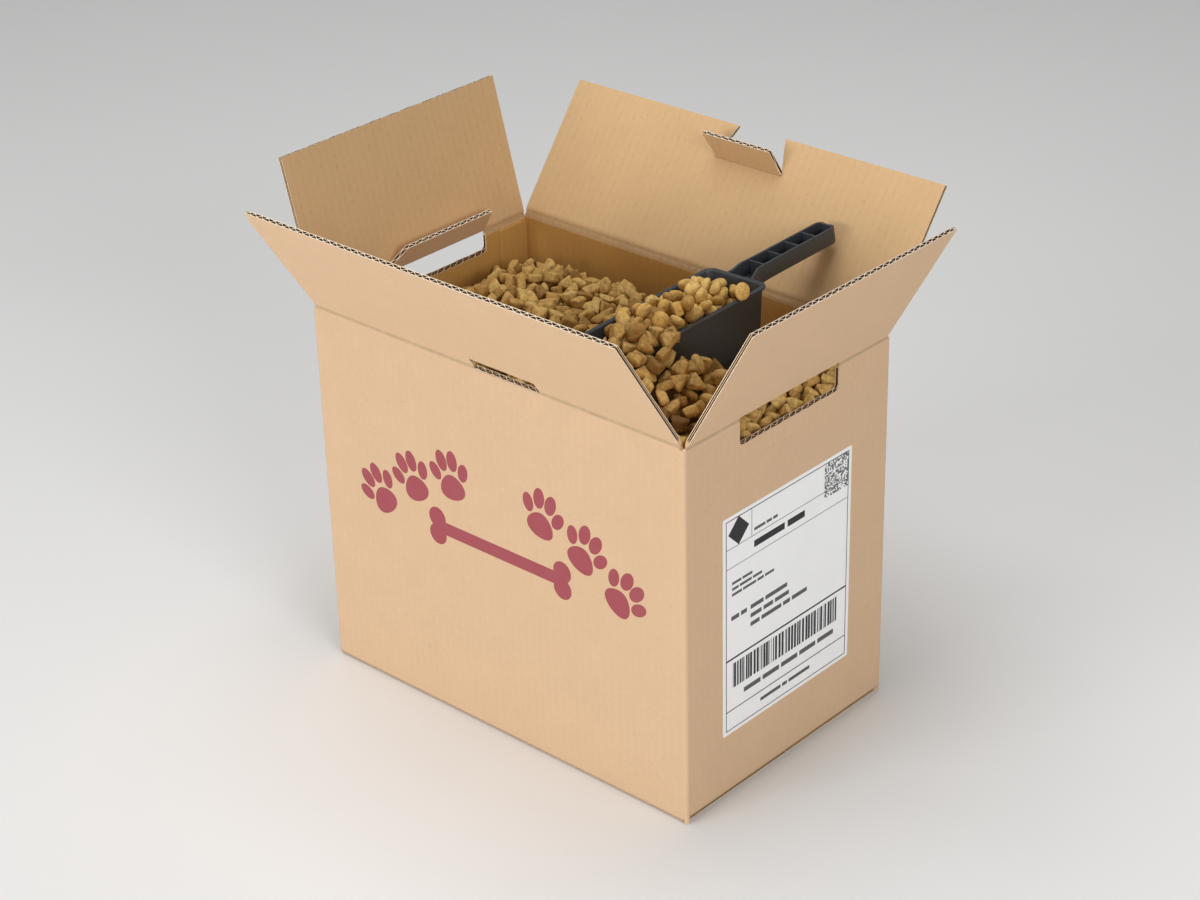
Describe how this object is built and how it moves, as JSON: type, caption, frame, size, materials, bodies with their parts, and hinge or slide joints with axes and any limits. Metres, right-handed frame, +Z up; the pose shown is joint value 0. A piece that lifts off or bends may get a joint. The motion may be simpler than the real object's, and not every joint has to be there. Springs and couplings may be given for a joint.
{
  "type": "bulk dry pet food box",
  "caption": "Corrugated shipping carton filled with dry kibble, its hinged top flaps open, with hand holes, a lock tab and slot, and a plastic scoop lying in the food.",
  "frame": {"origin": "centre of the carton's base, on the surface it stands on", "axes": "+X along the long front panel to the right, +Y from the front panel to the back panel, +Z up"},
  "size_m": [0.4135, 0.3337, 0.3833],
  "materials": {
    "kraft_board": "matte",
    "label_paper": "satin",
    "box_kibble": "matte",
    "black_plastic": "satin",
    "scoop_kibble": "matte"
  },
  "bodies": {
    "carton": {"carton_body": "kraft_board", "shipping_label": "label_paper", "food_fill": "box_kibble", "scoop": "black_plastic", "scoop_food": "scoop_kibble"},
    "front_flap": {"front_flap": "kraft_board"},
    "back_flap": {"back_flap": "kraft_board"},
    "left_flap": {"left_flap": "kraft_board"},
    "right_flap": {"right_flap": "kraft_board"}
  },
  "joints": [
    {"name": "front_flap_fold", "type": "hinge", "parent": "carton", "child": "front_flap", "pos_m": [0, -0.1065, 0.283], "axis": [1, 0, 0], "range_deg": [-33.3, 136.7]},
    {"name": "back_flap_fold", "type": "hinge", "parent": "carton", "child": "back_flap", "pos_m": [0, 0.1065, 0.283], "axis": [-1, 0, 0], "range_deg": [-2, 132.7]},
    {"name": "left_flap_fold", "type": "hinge", "parent": "carton", "child": "left_flap", "pos_m": [-0.1675, 0, 0.2815], "axis": [0, -1, 0], "range_deg": [-104.9, 155.1]},
    {"name": "right_flap_fold", "type": "hinge", "parent": "carton", "child": "right_flap", "pos_m": [0.1675, 0, 0.2815], "axis": [0, 1, 0], "range_deg": [-69.6, 140.4]}
  ]
}
